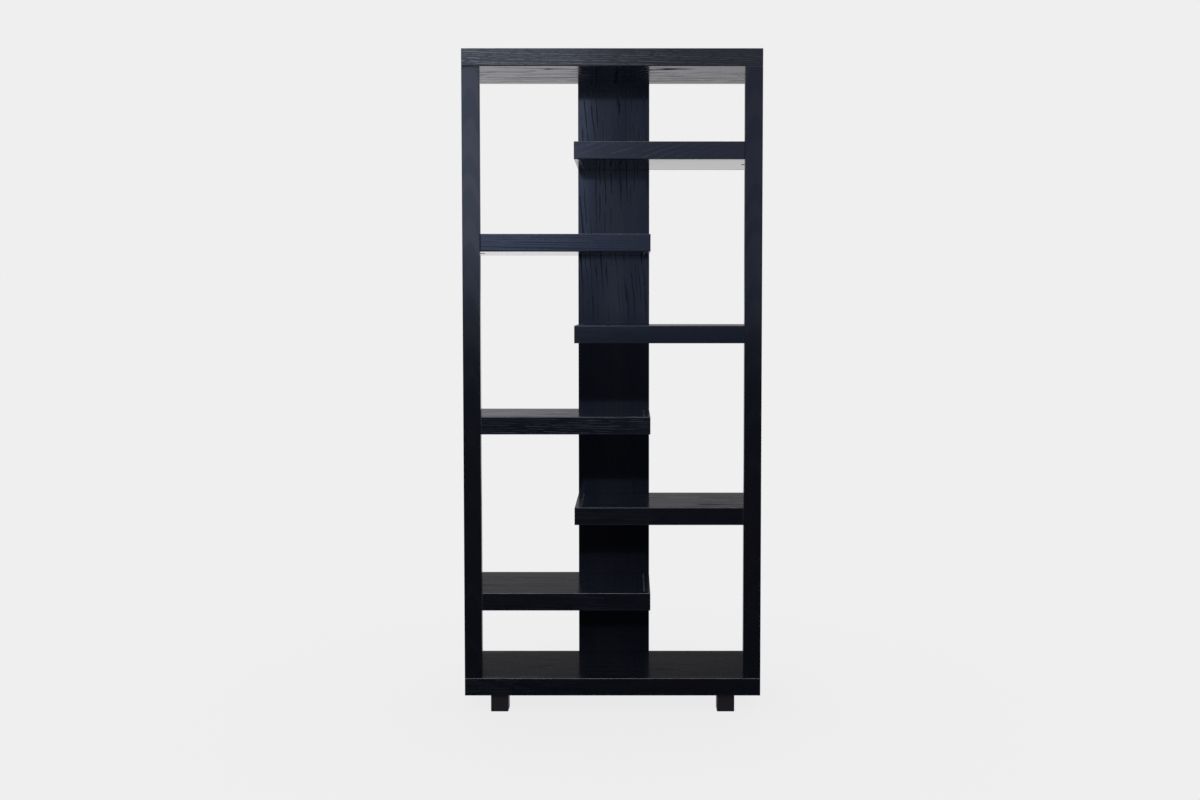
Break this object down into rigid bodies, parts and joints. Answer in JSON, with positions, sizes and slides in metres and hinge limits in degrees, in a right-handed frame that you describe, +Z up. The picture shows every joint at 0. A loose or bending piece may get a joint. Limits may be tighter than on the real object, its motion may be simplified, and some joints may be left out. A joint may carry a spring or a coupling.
{
  "type": "staircase bookcase",
  "caption": "Tall open bookcase whose thick shelves step left and right in turn up a narrow back spine, in a blue-black stained oak frame on block feet.",
  "frame": {"origin": "on the floor, under the middle of the overall box", "axes": "+Z up, -Y towards the front, +X to the right as seen from the front"},
  "size_m": [0.85, 0.35, 1.895],
  "materials": {
    "stained_oak": "blue-black stained oak veneer and lippings, open grain, satin",
    "foot_lacquer": "black lacquered hardwood, satin",
    "core_timber": "raw softwood",
    "beech": "raw beech",
    "zinc_fittings": "zinc plated",
    "cap_plastic": "moulded in the colour of the stain",
    "felt": "pressed wool felt"
  },
  "bodies": {
    "root": {"back_spine": "stained_oak", "bottom_front_lipping": "stained_oak", "bottom_left_end_lipping": "stained_oak", "bottom_lower_skin": "stained_oak", "bottom_rear_lipping": "stained_oak", "bottom_right_end_lipping": "stained_oak", "bottom_upper_skin": "stained_oak", "cam_bolts": "zinc_fittings", "cam_caps": "cap_plastic", "cam_discs": "zinc_fittings", "core_ribs": "core_timber", "felt_pads": "felt", "foot_blocks": "core_timber", "foot_screws": "zinc_fittings", "front_left_foot": "foot_lacquer", "front_right_foot": "foot_lacquer", "joint_dowels": "beech", "left_high_shelf_front_lipping": "stained_oak", "left_high_shelf_lower_skin": "stained_oak", "left_high_shelf_rear_lipping": "stained_oak", "left_high_shelf_right_end_lipping": "stained_oak", "left_high_shelf_upper_skin": "stained_oak", "left_low_shelf_front_lipping": "stained_oak", "left_low_shelf_lower_skin": "stained_oak", "left_low_shelf_rear_lipping": "stained_oak", "left_low_shelf_right_end_lipping": "stained_oak", "left_low_shelf_upper_skin": "stained_oak", "left_middle_shelf_front_lipping": "stained_oak", "left_middle_shelf_lower_skin": "stained_oak", "left_middle_shelf_rear_lipping": "stained_oak", "left_middle_shelf_right_end_lipping": "stained_oak", "left_middle_shelf_upper_skin": "stained_oak", "left_side_board": "stained_oak", "left_stile": "stained_oak", "rear_left_foot": "foot_lacquer", "rear_right_foot": "foot_lacquer", "right_high_shelf_front_lipping": "stained_oak", "right_high_shelf_left_end_lipping": "stained_oak", "right_high_shelf_lower_skin": "stained_oak", "right_high_shelf_rear_lipping": "stained_oak", "right_high_shelf_upper_skin": "stained_oak", "right_low_shelf_front_lipping": "stained_oak", "right_low_shelf_left_end_lipping": "stained_oak", "right_low_shelf_lower_skin": "stained_oak", "right_low_shelf_rear_lipping": "stained_oak", "right_low_shelf_upper_skin": "stained_oak", "right_middle_shelf_front_lipping": "stained_oak", "right_middle_shelf_left_end_lipping": "stained_oak", "right_middle_shelf_lower_skin": "stained_oak", "right_middle_shelf_rear_lipping": "stained_oak", "right_middle_shelf_upper_skin": "stained_oak", "right_side_board": "stained_oak", "right_stile": "stained_oak", "spine_screws": "zinc_fittings", "top_front_lipping": "stained_oak", "top_left_end_lipping": "stained_oak", "top_lower_skin": "stained_oak", "top_rear_lipping": "stained_oak", "top_right_end_lipping": "stained_oak", "top_upper_skin": "stained_oak"}
  },
  "joints": []
}
